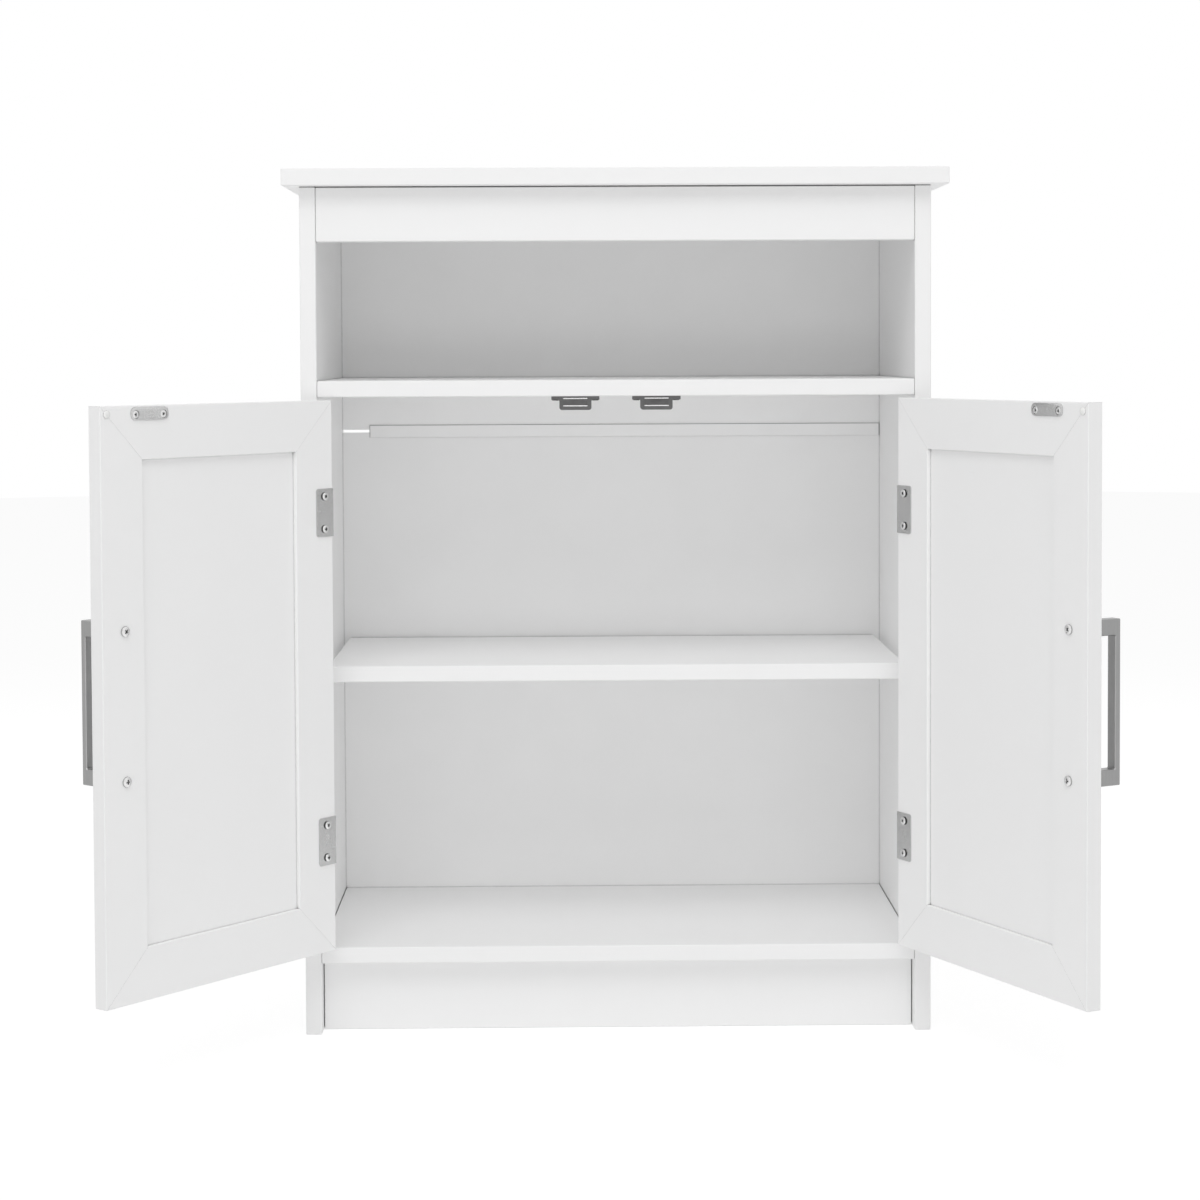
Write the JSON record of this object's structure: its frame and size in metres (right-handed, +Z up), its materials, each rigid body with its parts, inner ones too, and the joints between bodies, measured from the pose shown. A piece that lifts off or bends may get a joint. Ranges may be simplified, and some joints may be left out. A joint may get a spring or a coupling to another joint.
{
  "type": "bathroom floor cabinet",
  "caption": "White free-standing bathroom cabinet with an open cubby above a cupboard, hinged framed doors with bar handles, a loose shelf and magnetic catches.",
  "frame": {"origin": "on the floor, at the middle of the toe kick's underside", "axes": "+Z up, the front faces -Y, +X to the right seen from the front"},
  "size_m": [0.8856, 0.5371, 0.808],
  "materials": {
    "white_laminate": "satin white laminate",
    "white_hardboard": "satin white hardboard",
    "white_plastic": "matte white",
    "satin_nickel": "satin nickel",
    "bright_steel": "bright zinc plate",
    "zinc_alloy": "die-cast zinc",
    "grey_plastic": "matte grey",
    "magnet": "matte grey ferrite",
    "beech": "raw beech",
    "clear_bumper": "clear soft"
  },
  "bodies": {
    "carcass": {"top_panel": "white_laminate", "left_side_panel": "white_laminate", "right_side_panel": "white_laminate", "top_rail": "white_laminate", "fixed_shelf": "white_laminate", "bottom_panel": "white_laminate", "toe_kick": "white_laminate", "upper_back_panel": "white_hardboard", "lower_back_panel": "white_hardboard", "back_joiner_strip": "white_plastic", "shelf_pins": "bright_steel", "cam_locks": "zinc_alloy", "cam_bolts": "bright_steel", "wood_dowels": "beech", "left_catch_housing": "grey_plastic", "right_catch_housing": "grey_plastic", "catch_magnets": "magnet", "catch_pole_plates": "bright_steel", "catch_screws": "bright_steel", "hinge_frame_screws": "bright_steel", "left_upper_hinge_frame_leaf": "bright_steel", "left_upper_hinge_pin": "bright_steel", "left_lower_hinge_frame_leaf": "bright_steel", "left_lower_hinge_pin": "bright_steel", "right_upper_hinge_frame_leaf": "bright_steel", "right_upper_hinge_pin": "bright_steel", "right_lower_hinge_frame_leaf": "bright_steel", "right_lower_hinge_pin": "bright_steel"},
    "shelf": {"middle_shelf": "white_laminate"},
    "left_door": {"left_upper_hinge_door_leaf": "bright_steel", "left_lower_hinge_door_leaf": "bright_steel", "left_door_hinge_stile": "white_laminate", "left_door_lock_stile": "white_laminate", "left_door_top_rail": "white_laminate", "left_door_bottom_rail": "white_laminate", "left_door_panel": "white_laminate", "left_door_hinge_screws": "bright_steel", "left_handle": "satin_nickel", "left_handle_screws": "bright_steel", "left_strike_plate": "bright_steel", "left_strike_screws": "bright_steel", "left_door_bumper": "clear_bumper"},
    "right_door": {"right_upper_hinge_door_leaf": "bright_steel", "right_lower_hinge_door_leaf": "bright_steel", "right_door_hinge_stile": "white_laminate", "right_door_lock_stile": "white_laminate", "right_door_top_rail": "white_laminate", "right_door_bottom_rail": "white_laminate", "right_door_panel": "white_laminate", "right_door_hinge_screws": "bright_steel", "right_handle": "satin_nickel", "right_handle_screws": "bright_steel", "right_strike_plate": "bright_steel", "right_strike_screws": "bright_steel", "right_door_bumper": "clear_bumper"}
  },
  "joints": [
    {"name": "left_door_hinge", "type": "hinge", "parent": "carcass", "child": "left_door", "pos_m": [-0.27675, -0.0295, 0.3395], "axis": [0, 0, -1], "range_deg": [-129.3, 50.7]},
    {"name": "right_door_hinge", "type": "hinge", "parent": "carcass", "child": "right_door", "pos_m": [0.27675, -0.0295, 0.3395], "axis": [0, 0, 1], "range_deg": [-117.3, 62.7]},
    {"name": "shelf_lift", "type": "slide", "parent": "carcass", "child": "shelf", "axis": [0, 0, 1], "range_m": [0, 0.032]}
  ]
}
